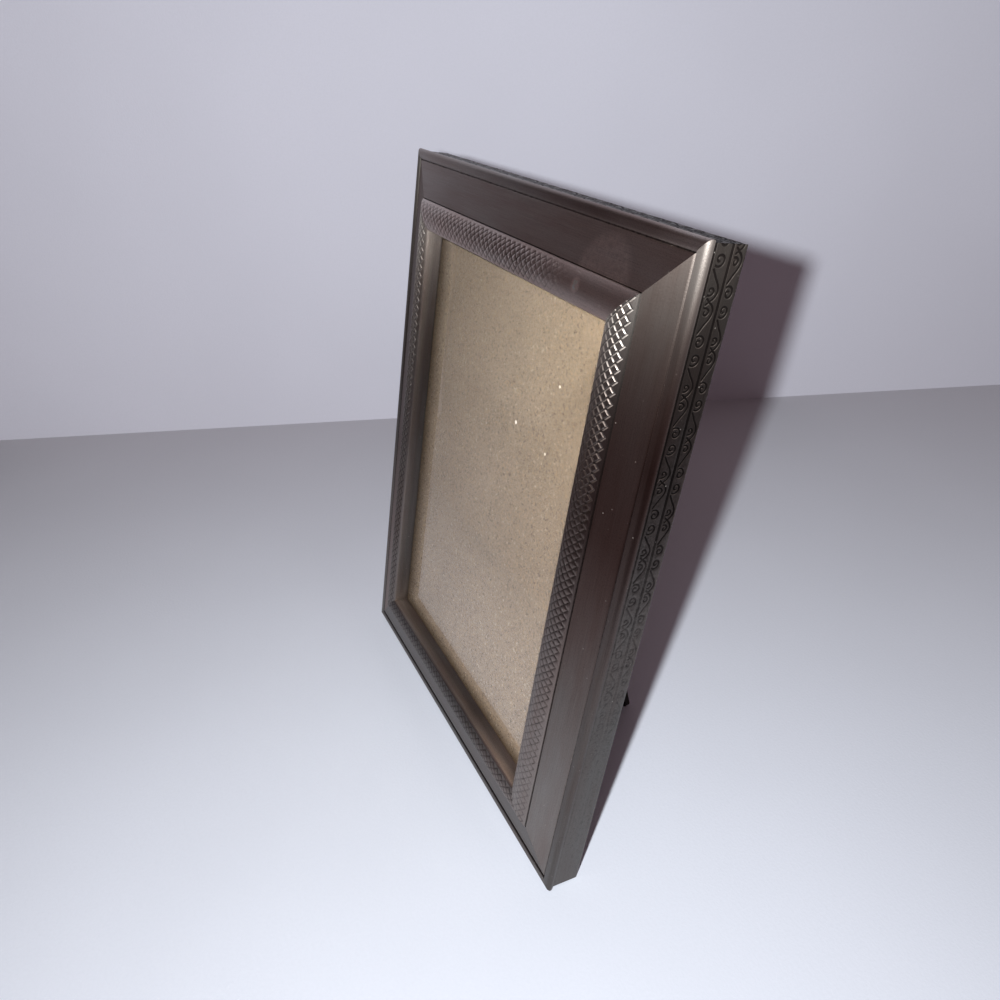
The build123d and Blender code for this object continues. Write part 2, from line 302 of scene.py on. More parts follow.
def pewterFinish(name, marks):
    p = pewter
    material, tree, shader = newFinish(name, Metallic=1.0, Anisotropic=p["anisotropy"])
    shader.inputs["Anisotropic Rotation"].default_value = p["anisotropyTurn"]
    place = brushedPlace(tree)
    patches = stretchedNoise(tree, place, *p["patches"])
    streaks = stretchedNoise(tree, place, *p["brushing"])
    mottle = stretchedNoise(tree, place, *p["mottle"])
    grain = stretchedNoise(tree, place, *p["grain"])
    body = blendColour(tree, ramp(tree, patches, *p["greyPatches"]), p["brown"], p["grey"])
    body = blendColour(tree, ramp(tree, streaks, *p["lightStreaks"]), body, p["worn"])
    body = blendColour(tree, ramp(tree, streaks, *p["darkStreaks"]), body, p["oxide"])
    body = blendColour(tree, ramp(tree, grain, *p["darkGrain"]), body, p["oxide"])
    # Multiplies in real patina together with painted highlight, painted reflection and painted shade
    shade = node(tree, "Attribute", attribute_name="patinaAndPaintedLight").outputs["Color"]
    body = blendColour(tree, 1.0, body, shade, "MULTIPLY")
    for mark in marks:
        body = scaled(tree, body, sums(tree, "ADD", wornMark(tree, mark, mottle), 1.0))
    # Oxide in the hollows, and the painted shade under the rim
    dark = node(tree, "Attribute", attribute_name="oxide").outputs["Fac"]
    dark = sums(tree, "POWER", dark, ramp(tree, mottle, *p["oxidePower"]))
    colour = blendColour(tree, dark, body, p["oxide"])
    dust = dustSpecks(tree, place)
    colour = blendColour(tree, dust, colour, p["dust"])
    tree.links.new(sums(tree, "SUBTRACT", 1.0, dust), shader.inputs["Metallic"])
    tree.links.new(colour, shader.inputs["Base Color"])
    rough = ramp(tree, grain, *p["roughness"])
    rough = node(tree, "Mix", {0: dark, 2: rough, 3: p["oxideRoughness"]}).outputs[0]
    tree.links.new(rough, shader.inputs["Roughness"])
    addBump(tree, shader, grain, p["bumpStrength"], p["bumpHeight"])
    tangent = node(tree, "Tangent", direction_type="UV_MAP", uv_map="brushed")
    tree.links.new(tangent.outputs[0], shader.inputs["Tangent"])
    return material


# The moulding's section in mm, as (inset from the side wall, depth behind the rim's front)
moulding = dict(
    sheet=0.6, wallDepth=13.2, rabbetInset=21.25, rimRadius=1.4, overhang=0.7, flatEnd=2.5,
    grooveInset=3.0, grooveDepth=0.55, lipRun=0.4, lipRise=0.3, panelInset=15.3, panelProud=2.5,
    quirkWidth=0.35, quirkDepth=0.6, beadWidth=9.8, beadProud=2.9, crestRun=5.8, crestProud=5.25,
    endProud=4.2, endRoll=1.0, coveWidth=0.95, coveSag=0.25, sightDepth=1.3,
    bend=0.8, seamInset=4.0, seamWidth=0.4, mitreGap=0.03, sharpAngle=20,
    bendSteps=6, rimSteps=20, rollSteps=8, panelSteps=6, coveSteps=5, hollowSteps=6,
)
scroll = dict(
    period=23.8, half=0.38, floor=0.2, depth=0.08, oxide=0.97,
    bands=((3.36, 1.0, 0), (8.7, 0.88, 1)),  # each band's height on the wall, stretch and shift
    borders=(3.1, 8.2, 8.5), field=0.3, smoothing=4,
    arch=[(-0.75, 1.0), (0, 1.95), (0.95, 3.1), (2.4, 3.72), (4.0, 3.2), (5.5, 2.1), (7.6, 0.7)],
    hook=[(1.5, 0.75), (1.55, 1.8), (2.3, 2.5), (3.15, 1.95), (3.0, 1.15), (2.45, 1.2)],
    loop=dict(centre=(2.12, 1.95), outer=1.75, inner=0.38, first=-38, last=380, count=26),
)
crosshatch = dict(
    pitch=2 * scroll["period"] / 15, start=1.05, end=0.5, rows=6, half=0.4, depth=0.17, oxide=0.75,
    arcSteps=18,
)


def arcPoints(centre, radius, first, last, count):
    angles = [math.radians(first + (last - first) * k / count) for k in range(count + 1)]
    return [(centre[0] + radius * math.cos(a), centre[1] + radius * math.sin(a)) for a in angles]


def sagitta(start, end, sag, count):
    (x0, y0), (x1, y1) = start, end
    chord = math.hypot(x1 - x0, y1 - y0)
    radius = (chord * chord / 4 + sag * sag) / (2 * sag)
    half = math.asin(chord / 2 / radius)
    points = []
    for k in range(count + 1):
        turn = -half + 2 * half * k / count
        along = 0.5 + radius * math.sin(turn) / chord
        off = radius * math.cos(turn) - (radius - sag)
        points.append((x0 + (x1 - x0) * along - (y1 - y0) / chord * off,
                       y0 + (y1 - y0) * along + (x1 - x0) / chord * off))
    return points


def beadArc():
    m = moulding
    foot = Vector((m["panelInset"] + m["quirkWidth"], -m["beadProud"]))
    crest = Vector((foot.x + m["crestRun"], -m["crestProud"]))
    end = Vector((foot.x + m["beadWidth"], -m["endProud"]))
    first, second = crest - foot, end - foot
    twice = 2 * first.cross(second)
    centre = foot + Vector((second.y * first.length_squared - first.y * second.length_squared,
                            first.x * second.length_squared - second.x * first.length_squared)) / twice
    radius = (foot - centre).length
    turns = [math.asin((point.x - centre.x) / radius) for point in (foot, end)]
    return centre, radius, turns[0], turns[1]


def beadRoll():
    m = moulding
    centre, radius, first, last = beadArc()
    end = Vector((centre.x + radius * math.sin(last), centre.y - radius * math.cos(last)))
    sight = Vector((end.x + m["coveWidth"], m["sightDepth"]))
    steep = math.atan2(sight.y - end.y, sight.x - end.x)
    tangent = m["endRoll"] * math.tan((steep - last) / 2)
    last -= tangent / radius
    middle = centre + (radius - m["endRoll"]) * Vector((math.sin(last), -math.cos(last)))
    roll = []
    for k in range(m["rollSteps"] + 1):
        turn = last + (steep - last) * k / m["rollSteps"]
        roll.append((middle.x + m["endRoll"] * math.sin(turn), middle.y - m["endRoll"] * math.cos(turn)))
    return last, roll


def mouldingSpans():
    m = moulding
    sheet, back, rabbet, rim = m["sheet"], m["wallDepth"], m["rabbetInset"], m["rimRadius"]
    seamLow = m["seamInset"] - m["seamWidth"] / 2
    seamHigh = m["seamInset"] + m["seamWidth"] / 2
    bend = m["bend"]
    outerBend = arcPoints((bend, back - bend), bend, 90, 180, m["bendSteps"])
    rimMiddle = (rim - m["overhang"], rim)
    under = math.degrees(math.acos(1 - m["overhang"] / rim))
    rimArc = arcPoints(rimMiddle, rim, 180 - under, 270, m["rimSteps"])
    groove = m["grooveInset"]
    lipTop = (groove + m["lipRun"], m["grooveDepth"] - m["lipRise"])
    panelEdge = (m["panelInset"], -m["panelProud"])
    run, rise = panelEdge[0] - lipTop[0], panelEdge[1] - lipTop[1]
    lip = [(1.4, 0), (m["flatEnd"] - 0.35, 0), (m["flatEnd"] - 0.1, 0.04), (m["flatEnd"] + 0.15, 0.22),
           (groove - 0.1, 0.5), (groove, 0.53), (groove + 0.12, 0.46),
           (lipTop[0] - 0.05, lipTop[1] + 0.01), (lipTop[0] + 0.15, lipTop[1] - 0.07),
           (lipTop[0] + 0.4, lipTop[1] - 0.12)]
    steps = m["panelSteps"]
    panel = [(lipTop[0] + run * k / steps, lipTop[1] + rise * k / steps) for k in range(1, steps + 1)]
    quirkFloor = m["quirkDepth"] - m["panelProud"]
    beadFoot = panelEdge[0] + m["quirkWidth"]
    quirk = [panelEdge, (panelEdge[0], quirkFloor), (beadFoot, quirkFloor),
             (beadFoot, -m["beadProud"])]
    centre, radius, first, last = beadArc()
    roll = beadRoll()[1]
    beadEnd = (beadFoot + m["beadWidth"], -m["endProud"])
    sight = (beadEnd[0] + m["coveWidth"], m["sightDepth"])
    cove = sagitta(roll[-1], sight, m["coveSag"], m["coveSteps"])
    lipBack = m["sightDepth"] + sheet
    innerBend = arcPoints((rabbet - bend, back - bend), bend, 0, 90, m["bendSteps"])
    inside = radius - sheet
    hollowBead = []
    for k in range(m["hollowSteps"], -1, -1):
        turn = first + (last - first) * k / m["hollowSteps"]
        hollowBead.append((centre.x + inside * math.sin(turn), centre.y - inside * math.cos(turn)))
    hollow = [
        (seamHigh, back - sheet), (rabbet - sheet, back - sheet), (rabbet - sheet, m["sightDepth"]),
        (sight[0] - 0.8, m["sightDepth"]), (beadEnd[0] - 0.75, -m["endProud"] + 0.9), *hollowBead[1:],
        (beadFoot + sheet, quirkFloor + sheet), (panelEdge[0] - sheet, quirkFloor + sheet),
        (panelEdge[0] - sheet, -1.75), (groove + 0.8, 0.85), (groove + 0.4, 1.2), (2.2, 1.2),
        (1.9, sheet), (rimMiddle[0], sheet), (0.2, 0.8), (0.0, rim), (0.2, 2.0), (sheet, 2.8),
        (sheet, back - sheet), (seamLow, back - sheet),
    ]
    return [
        ("plain", [(seamLow, back), *outerBend]),
        ("scroll", [outerBend[-1], rimArc[0]]),
        ("plain", [*rimArc, *lip, *panel[1:], *quirk[1:]]),
        ("crosshatch", [quirk[-1], roll[0]]),
        ("plain", [*roll, *cove[1:], (sight[0], lipBack), (rabbet, lipBack), *innerBend, (seamHigh, back),
                   *hollow, (seamLow, back)]),
    ]


def offsetLine(points, half):
    pts = np.array(points, float)
    step = np.diff(pts, axis=0)
    step /= np.linalg.norm(step, axis=1)[:, None]
    normals = np.column_stack([-step[:, 1], step[:, 0]])
    joint = np.vstack([normals[:1], normals[:-1] + normals[1:], normals[-1:]])
    joint /= np.linalg.norm(joint, axis=1)[:, None]
    share = np.vstack([normals[:1], normals])
    stretch = 1 / np.clip((joint * share).sum(1), 0.6, 1)
    return pts + joint * half * stretch[:, None]


def grooveDistance(points, lines):
    best = np.full(len(points), 1e9)
    for line in lines:
        a, b = line[:-1], line[1:]
        ab = b - a
        share = ((points[:, None] - a) * ab).sum(2) / np.maximum((ab * ab).sum(1), 1e-12)
        near = a + np.clip(share, 0, 1)[..., None] * ab
        best = np.minimum(best, np.linalg.norm(points[:, None] - near, axis=2).min(1))
    return best


def engravedTile(width, height, lines, half, floor, rows=()):
    steps = round(width / crosshatch["pitch"])
    lines = [np.array(line, float) for line in lines]
    shifted = []
    for line in lines:
        for turn in (-1, 0, 1) if np.ptp(line[:, 0]) < width else (0,):
            moved = line + (turn * width, 0)
            if moved[:, 0].max() > -half * 2 and moved[:, 0].min() < width + half * 2:
                shifted.append(moved)
    border = [(width * k / steps, 0) for k in range(steps + 1)]
    border += [(width * k / steps, height) for k in range(steps, -1, -1)]
    verts = list(border)
    edges = [(k, (k + 1) % len(border)) for k in range(len(border))]

    def addLine(points):
        first = len(verts)
        verts.extend(tuple(p) for p in points)
        edges.extend((first + k, first + k + 1) for k in range(len(points) - 1))

    for row in rows:
        addLine([(0, row), (width, row)])
    for line in shifted:
        for side in (-half, -floor, floor, half) if floor else (-half, 0, half):
            addLine(offsetLine(line, side) if side else line)
    made = geometry.delaunay_2d_cdt([Vector(v) for v in verts], edges, [], 0, 1e-5)
    points = np.array([tuple(v) for v in made[0]])
    faces = np.array([tuple(f) for f in made[2]], int)
    middle = points[faces].mean(1)
    keep = (middle[:, 0] > 0) & (middle[:, 0] < width) & (middle[:, 1] > 0) & (middle[:, 1] < height)
    faces = faces[keep]
    area = np.cross(points[faces[:, 1]] - points[faces[:, 0]], points[faces[:, 2]] - points[faces[:, 0]])
    faces[area < 0] = faces[area < 0][:, ::-1]
    used, faces = np.unique(faces, return_inverse=True)
    faces = faces.reshape(-1, 3)
    points = points[used]
    sunk = np.clip((half - grooveDistance(points, shifted)) / (half - floor), 0, 1)
    return points, faces, sunk


def crosshatchTile():
    c = crosshatch
    _, radius, first, _ = beadArc()
    length = (beadRoll()[0] - first) * radius
    reach = length - c["start"] - c["end"]
    run = c["rows"] / 2 * c["pitch"]
    rising = [(0, c["start"]), (run, c["start"] + reach)]
    falling = [(0, c["start"] + reach), (run, c["start"])]
    lines = []
    for turn in range(-int(c["rows"] / 2) - 1, 2):
        for line in (rising, falling):
            lines.append([(x + turn * c["pitch"], y) for x, y in line])
    rows = [length * k / c["arcSteps"] for k in range(1, c["arcSteps"])]
    return engravedTile(c["pitch"], length, lines, c["half"], 0, rows)


def spiral(centre, outer, inner, first, last, count):
    points = []
    for k in range(count + 1):
        share = k / count
        radius = outer + (inner - outer) * share
        angle = math.radians(first + (last - first) * share)
        points.append((centre[0] + radius * math.cos(angle), centre[1] + radius * math.sin(angle)))
    return points


def smoothLine(points, count):
    pts = [Vector(p) for p in points]
    pts = [2 * pts[0] - pts[1], *pts, 2 * pts[-1] - pts[-2]]
    line = []
    for k in range(1, len(pts) - 2):
        p0, p1, p2, p3 = pts[k - 1:k + 3]
        for step in range(count):
            t = step / count
            line.append(0.5 * (2 * p1 + (p2 - p0) * t + (2 * p0 - 5 * p1 + 4 * p2 - p3) * t * t
                               + (3 * p1 - p0 - 3 * p2 + p3) * t ** 3))
    return [tuple(p) for p in [*line, pts[-2]]]


def scrollMotifs():
    s = scroll
    arch = smoothLine(s["arch"], s["smoothing"])
    hook = smoothLine(s["hook"], s["smoothing"])
    loop = spiral(**s["loop"])
    crossing = [arch, hook, [(-x, y) for x, y in arch], [(-x, y) for x, y in hook]]
    rounds = [loop, [(-x, y) for x, y in loop]]
    return crossing, rounds


def scrollTile(wallBack, wallFront):
    s = scroll
    crossing, rounds = scrollMotifs()
    lines = []
    for band, stretch, shift in s["bands"]:
        for step in range(4):
            for line in rounds if (step + shift) % 2 else crossing:
                at = step * s["period"] / 2
                lines.append([(x + at, wallBack - band - y * stretch) for x, y in line])
    for border in s["borders"]:
        lines.append([(-1, wallBack - border), (2 * s["period"] + 1, wallBack - border)])
    return engravedTile(2 * s["period"], wallBack - wallFront, lines, s["half"], s["floor"])


def tiled(tile, period, phase, low, high):
    points, faces, sunk = tile
    first = math.floor((low - phase) / period)
    count = math.ceil((high - phase) / period) - first
    shift = phase + period * (first + np.arange(count))
    x = (points[:, 0][None] + shift[:, None]).ravel()
    s = np.tile(points[:, 1], count)
    made = (faces[None] + (np.arange(count) * len(points))[:, None, None]).reshape(-1, 3)
    return x, s, np.tile(sunk, count), made, shift


wallEnds = [depth for inset, depth in mouldingSpans()[1][1]]
tiles = dict(crosshatch=crosshatchTile(), scroll=scrollTile(*wallEnds))
print("ornament tiles:", {key: len(tile[1]) for key, tile in tiles.items()}, "triangles")


def along(x, stops, column=1):
    table = np.array(sorted(stops), float)
    return np.interp(x, table[:, 0], table[:, column])


# How dark each hollow of the section is from oxide, and where in the section it lies; the under band on the
# wall beneath the rim's overhang is painted shade
grooveOxideAndShade = dict(
    groove=1.0, start=2.8, end=3.3, floor=1.0, reach=4.0, quirk=0.9, quirkReach=0.2, quirkTop=-2.2,
    under=0.85, underFrom=1.9, underTo=4.0, wall=0.01,
)
# Where one zone of patina and painted light ends and the next begins in the section, and how painted shade
# darkens the lip
patinaAndPaintedLightEdges = dict(
    wallInset=0.3, wallDepth=2.6, rimInset=3.2, panelInset=15.5, panelDepth=0.8, beadDepth=1.4,
    slopeInset=25.2, slopeDepth=1.95, lipDepths=(-3.6, -0.5), lipPaintedShade=(1.0, 0.5), blueLoss=1.15,
)


# Real patina together with painted highlight, painted reflection and painted shade, by zone of the section
# and place along the moulding
def patinaAndPaintedLightColour(x, inset, depth, stops):
    shade = np.ones((len(x), 3))
    e = patinaAndPaintedLightEdges
    zones = dict(
        wall=(inset < e["wallInset"]) & (depth > e["wallDepth"]),
        rim=(inset < e["rimInset"]) & (depth < e["wallDepth"]),
        panel=(inset >= e["rimInset"]) & (inset < e["panelInset"]) & (depth < e["panelDepth"]),
        bead=(inset >= e["panelInset"]) & (depth < e["beadDepth"]),
        slope=(inset > e["slopeInset"]) & (depth < e["slopeDepth"]),
    )
    for zone, where in zones.items():
        if zone in stops:
            bright, brown = along(x[where], stops[zone]), along(x[where], stops[zone], 2)
            green, blue = bright * (1 - brown), bright * (1 - e["blueLoss"] * brown)
            shade[where] = np.column_stack([bright, green, blue])
    # Painted shade: the inner slope darkens down towards the glass
    slope = zones["slope"]
    shade[slope] *= np.interp(depth[slope], e["lipDepths"], e["lipPaintedShade"])[:, None]
    return shade


def plainOxideAndShade(inset, depth):
    g = grooveOxideAndShade
    if g["start"] < inset < g["end"] and depth < g["floor"]:
        return g["groove"]
    # Painted shade on the wall under the rim's overhang
    if inset < g["wall"] and g["underFrom"] < depth < g["underTo"]:
        return g["under"]
    quirkMiddle = moulding["panelInset"] + moulding["quirkWidth"] / 2
    if abs(inset - quirkMiddle) < g["quirkReach"] and depth > g["quirkTop"]:
        return g["quirk"]
    return 0.0


railWeld = dict(together=2e-4, onPlane=1e-5, overrun=1)


def plainStrip(points, columns, worn):
    pts = np.array(points, float)
    steps = np.concatenate([[0], np.cumsum(np.linalg.norm(np.diff(pts, axis=0), axis=1))])
    n, k = len(pts), len(columns)
    x = np.tile(columns, n)
    inset, depth = np.repeat(pts[:, 0], k), np.repeat(pts[:, 1], k)
    dark = np.repeat([plainOxideAndShade(*point) for point in points], k)
    dark = np.where(inset < grooveOxideAndShade["reach"], dark * along(x, worn["groove"]), dark)
    grid = np.arange(n * k).reshape(n, k)
    quads = np.stack([grid[:-1, :-1], grid[:-1, 1:], grid[1:, 1:], grid[1:, :-1]], -1).reshape(-1, 4)
    co = np.column_stack([x, depth, inset])
    return co, np.column_stack([x, np.repeat(steps, k)]), dark, quads, steps[-1]


def engravedStrip(kind, points, ornament, worn):
    x, s, sunk, faces, _ = ornament
    worn = along(x, worn[kind])
    sunk = sunk * worn
    if kind == "scroll":
        dark = np.maximum(sunk * scroll["oxide"], scroll["field"] * worn)
        depth = points[0][1] - s
        inset = sunk * scroll["depth"]
        span = points[0][1] - points[1][1]
    else:
        centre, radius, first, _ = beadArc()
        dark = sunk * crosshatch["oxide"]
        turn = s / radius + first
        out = radius - sunk * crosshatch["depth"]
        inset = centre.x + out * np.sin(turn)
        depth = centre.y - out * np.cos(turn)
        span = (beadRoll()[0] - first) * radius
    return np.column_stack([x, depth, inset]), np.column_stack([x, s]), dark, faces, span


def arrayMesh(name, co, quads, tris, uv):
    mesh = bpy.data.meshes.new(name)
    mesh.vertices.add(len(co))
    mesh.vertices.foreach_set("co", co.ravel())
    loops = np.concatenate([quads.ravel(), tris.ravel()])
    starts = np.concatenate([np.arange(len(quads)) * 4, len(quads) * 4 + np.arange(len(tris)) * 3])
    mesh.loops.add(len(loops))
    mesh.loops.foreach_set("vertex_index", loops)
    mesh.polygons.add(len(starts))
    mesh.polygons.foreach_set("loop_start", starts)
    mesh.update(calc_edges=True)
    mesh.uv_layers.new(name="brushed").data.foreach_set("uv", (uv[loops] * mm).ravel())
    return mesh


# Welds the strips, cuts both ends at 45 degrees and closes them
def mitreEnds(mesh, length):
    form = bmesh.new()
    form.from_mesh(mesh)
    bmesh.ops.remove_doubles(form, verts=form.verts, dist=railWeld["together"])
    reach = length / 2 - moulding["mitreGap"]
    for side in (-1, 1):
        everything = [*form.verts, *form.edges, *form.faces]
        cut = bmesh.ops.bisect_plane(
            form, geom=everything, dist=railWeld["onPlane"], clear_outer=True,
            plane_co=(side * reach, 0, 0), plane_no=(side, 0, 1),
        )["geom_cut"]
        rim = [edge for edge in cut if isinstance(edge, bmesh.types.BMEdge) and edge.is_boundary]
        bmesh.ops.triangle_fill(form, edges=rim, use_beauty=True, use_dissolve=False)
    form.to_mesh(mesh)
    openEdges = sum(not edge.is_manifold for edge in form.edges)
    form.free()
    print(" ", mesh.name, len(mesh.polygons), "faces,", openEdges, "open edges")


def railMesh(name, length, phase, patinaAndPaintedLight, worn):
    low, high = -length / 2 - railWeld["overrun"], length / 2 + railWeld["overrun"]
    ornament = {
        "crosshatch": tiled(tiles["crosshatch"], crosshatch["pitch"], phase, low, high),
        "scroll": tiled(tiles["scroll"], 2 * scroll["period"], phase, low, high),
    }
    shifts = ornament["scroll"][4]
    columns = np.arange(shifts[0], shifts[-1] + 2 * scroll["period"] + 0.1, crosshatch["pitch"])
    co, quads, tris, oxide, uv = [], [], [], [], []
    count = 0
    across = 0.0
    for kind, points in mouldingSpans():
        if kind == "plain":
            places, flat, dark, faces, span = plainStrip(points, columns, worn)
            quads.append(faces + count)
        else:
            places, flat, dark, faces, span = engravedStrip(kind, points, ornament[kind], worn)
            tris.append(faces + count)
        co.append(places)
        uv.append(flat + (0, across))
        oxide.append(dark)
        count += len(places)
        across += span
    co = np.vstack(co)
    mesh = arrayMesh(name, co, np.vstack(quads), np.vstack(tris), np.vstack(uv))
    # The oxide attribute holds oxide in the hollows and the painted shade under the rim
    mesh.attributes.new("oxide", "FLOAT", "POINT").data.foreach_set("value", np.concatenate(oxide))
    # Per-vertex brightness: real patina together with painted highlight, painted reflection and painted shade
    shade = np.column_stack([patinaAndPaintedLightColour(*co.T[[0, 2, 1]], patinaAndPaintedLight), np.ones(len(co))])
    mesh.attributes.new("patinaAndPaintedLight", "FLOAT_COLOR", "POINT").data.foreach_set("color", shade.ravel())
    mitreEnds(mesh, length)
    return mesh


# Along each moulding, the brightness stops are a list of (x, brightness, brown): real patina together with
# painted highlight, painted reflection and painted shade; worn is a list of (x, share left)
even = [(-110, 1.0), (110, 1.0)]
rails = dict(
    rail_top=dict(
        turn=180, place=(0, 110.9), length=171.0, phase=3.0,
        # Painted highlight: rim, panel and bead brighten towards the right-hand corner, near the flash
        patinaAndPaintedLight=dict(
            rim=[(-80, 3.4, 0.02), (-66, 2.2, 0.08), (-43, 1.5, 0.14), (30, 1.75, 0.02)],
            panel=[(-69, 3.2, 0.08), (-27, 2.6, 0.08), (50, 1.6, 0.08)],
            bead=[(-57, 3.6, 0.1), (22, 3.2, 0.07)],
        ),
        worn=dict(
            groove=[(-85, 0.9), (-40, 0.45), (85, 0.6)], scroll=even,
            crosshatch=[(-42, 0.04), (-30, 0.35), (-12, 0.8), (30, 0.5), (80, 0.35)],
        ),
        marks=[
            dict(place=(52, -2.1, 95), radius=12.5, lighter=0.4, softness=0.2),
            dict(place=(44.6, -5.1, 91), radius=2.4, lighter=1.0, softness=0.6),
        ],
    ),
    rail_left=dict(
        turn=90, place=(-85.5, 0), length=221.8, phase=2.0,
        # Painted light: the bead brightens to a painted highlight at the top, and the panel is darker at the
        # top
        patinaAndPaintedLight=dict(
            panel=[(-54, 0.6, 0.2), (67, 1.1, 0.2)],
            bead=[(-85, 2.8, 0.02), (-60, 1.6, 0.04), (0, 1.1, 0.05)],
        ),
        worn=dict(groove=even, scroll=even, crosshatch=[(-110, 1.0), (40, 0.9), (110, 0.6)]),
    ),
    rail_right=dict(
        turn=-90, place=(85.5, 0), length=221.8, phase=2.2,
        # Painted light: brighter near the top as painted highlight, darker and browner in the middle as
        # painted reflection of the dark room
        patinaAndPaintedLight=dict(
            wall=[
                (-85, 0.66, 0.02), (-35, 0.58, 0.02), (5, 0.75, 0.03), (62, 0.52, 0.12), (98, 0.52, 0.02),
            ],
            rim=[
                (-85, 0.58, 0.03), (-41, 0.58, 0.04), (20, 0.6, 0.2), (53, 0.53, 0.34), (85, 1.2, 0.1),
                (102, 2.1, 0.04),
            ],
            panel=[
                (-85, 1.12, 0.04), (-31, 0.77, 0.08), (28, 0.56, 0.36), (64, 1.05, 0.22), (91, 1.66, 0.07),
            ],
            bead=[
                (-76, 1.25, 0.08), (-39, 1.2, 0.08), (35, 0.68, 0.18), (66, 0.9, 0.1), (86, 1.75, 0.02),
            ],
        ),
        worn=dict(
            groove=[(-110, 0.1), (0, 0.2), (60, 0.35), (110, 0.2)],
            scroll=[(-110, 0.05), (-50, 0.12), (0, 0.45), (40, 1.0)],
            crosshatch=[(-80, 0.5), (-39, 0.55), (35, 0.85), (80, 1.0)],
        ),
    ),
    rail_bottom=dict(
        turn=0, place=(0, -110.9), length=171.0, phase=5.0,
        # Painted light: the inner slope is brightened, most towards its right end as a painted highlight
        patinaAndPaintedLight=dict(
            panel=[(22, 0.83, 0.05)],
            bead=[(-60, 1.1, 0.05), (22, 0.85, 0.05), (48, 1.3, 0.06), (60, 1.5, 0.06)],
            slope=[(-60, 1.9, 0.02), (22, 2.0, 0.02), (50, 4.0, 0.06)],
        ),
        worn=dict(groove=even, scroll=even, crosshatch=[(-110, 0.7), (110, 0.7)]),
    ),
)


def smoothed(mesh, sharpAngle):
    mesh.polygons.foreach_set("use_smooth", [True] * len(mesh.polygons))
    mesh.set_sharp_from_angle(angle=math.radians(sharpAngle))


def addPiece(name, mesh, body, material, stands):
    piece = bpy.data.objects.new(name, mesh)
    scene.collection.objects.link(piece)
    mesh.materials.append(material)
    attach(piece, body)
    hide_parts(stands)
    return piece


for name, rail in rails.items():
    x, z = rail["place"]
    mesh = railMesh(name + "_ornamented", rail["length"], rail["phase"], rail["patinaAndPaintedLight"], rail["worn"])
    seat = Matrix.Translation((x, 0, z)) @ Matrix.Rotation(math.radians(rail["turn"]), 4, "Y")
    mesh.transform(upright @ seat)
    smoothed(mesh, moulding["sharpAngle"])
    finish = pewterFinish(name + "_pewter", rail.get("marks", []))
    addPiece(name + "_ornamented", mesh, "frame", finish, name)
print("rails made")


# Cloth glued on the backboard and the leg, cut from the CAD sheet's own outline
clothLook = dict(
    grid=3.0, edgeRound=0.16, sink=0.05, swell=0.03, waves=(0.31, 0.23), sharpAngle=50, flatWithin=0.01,
)


def outlineLoops(name, seat):
    cad = bpy.data.objects[name]
    toSeat = seat.inverted() @ cad.matrix_world
    points = [toSeat @ vertex.co for vertex in cad.data.vertices]
    far = max(point.y for point in points)
    near = min(point.y for point in points)
    seen = {}
    for face in cad.data.polygons:
        if any(points[k].y < far - clothLook["flatWithin"] for k in face.vertices):
            continue
        ring = [(round(points[k].x, 3), round(points[k].z, 3)) for k in face.vertices]
        for a, b in zip(ring, ring[1:] + ring[:1]):
            if (b, a) in seen:
                del seen[(b, a)]
            elif a != b:
                seen[(a, b)] = True
    follow = dict(seen.keys())
    loops = []
    while follow:
        first, following = follow.popitem()
        loop = [first]
        while following != first:
            loop.append(following)
            following = follow.pop(following)
        loops.append(np.array(loop))
    return sorted(loops, key=lambda loop: -np.ptp(loop[:, 0])), near, far


def moveLoop(loop, amount):
    before, after = loop - np.roll(loop, 1, 0), np.roll(loop, -1, 0) - loop
    before /= np.linalg.norm(before, axis=1)[:, None]
    after /= np.linalg.norm(after, axis=1)[:, None]
    normal = np.column_stack([before[:, 1] + after[:, 1], -before[:, 0] - after[:, 0]])
    normal /= np.maximum((normal ** 2).sum(1), 1.0)[:, None] / 2
    return loop + normal * amount


def insideLoop(point, loop):
    x, z = loop[:, 0], loop[:, 1]
    xn, zn = np.roll(x, -1), np.roll(z, -1)
    spans = (z > point[1]) != (zn > point[1])
    cross = x + (point[1] - z) / np.where(zn == z, 1, zn - z) * (xn - x)
    return (spans & (point[0] < cross)).sum() % 2 == 1


